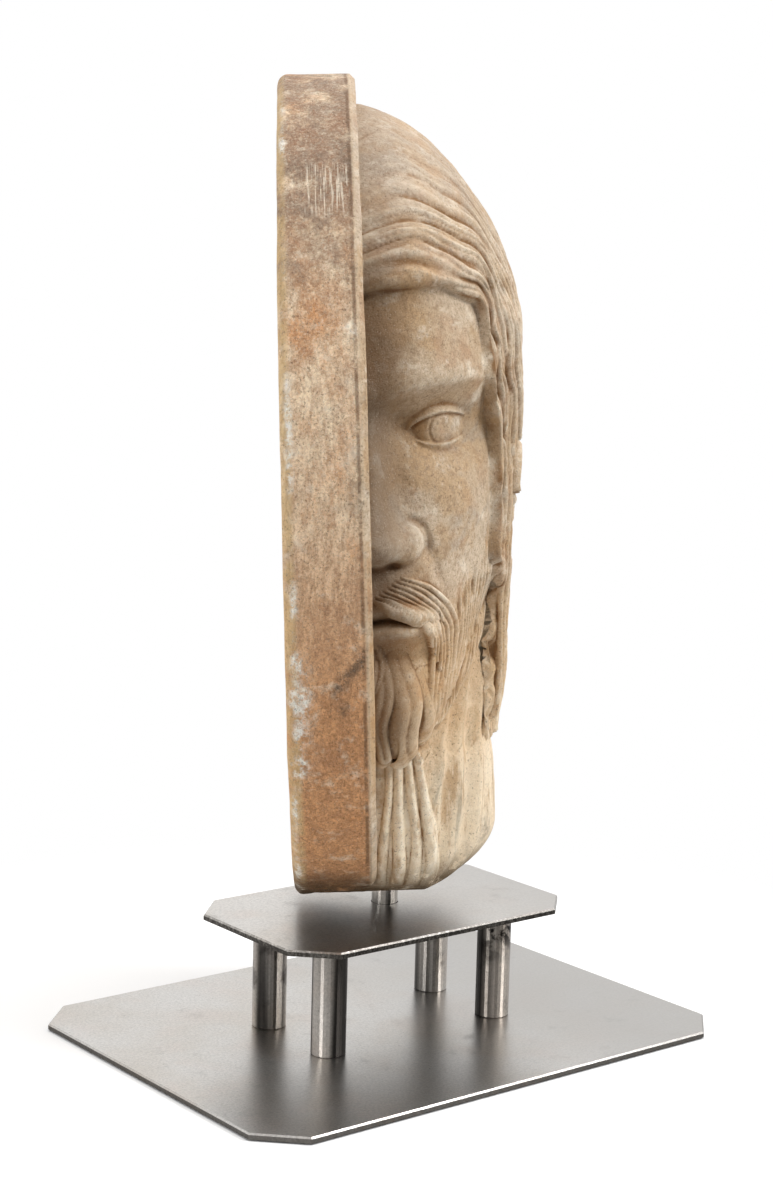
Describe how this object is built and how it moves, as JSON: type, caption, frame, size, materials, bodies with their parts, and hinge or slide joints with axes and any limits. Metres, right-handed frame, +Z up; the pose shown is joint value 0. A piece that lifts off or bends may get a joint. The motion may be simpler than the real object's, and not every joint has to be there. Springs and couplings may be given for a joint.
{
  "type": "oval marble relief plaque on a steel stand",
  "caption": "Oval marble plaque with a bearded, long-haired profile head in high relief, held upright by a polished rod on a small steel stand.",
  "frame": {"origin": "middle of the base plate's underside, on the surface it stands on", "axes": "+Z up, +X along the long side of the two plates, +Y away from the plates' front long side"},
  "size_m": [0.3, 0.2776, 0.4951],
  "materials": {
    "plate_steel": "satin, ground edges, faint heat tint",
    "post_steel": "satin, turned, with dark oxide blotches",
    "rod_steel": "polished",
    "marble": "weathered warm cream marble with brown patina"
  },
  "bodies": {
    "root": {"base_plate": "plate_steel", "upper_plate": "plate_steel", "post_front_left": "post_steel", "post_front_right": "post_steel", "post_back_left": "post_steel", "post_back_right": "post_steel", "support_rod": "rod_steel", "marble_relief": "marble"}
  },
  "joints": []
}
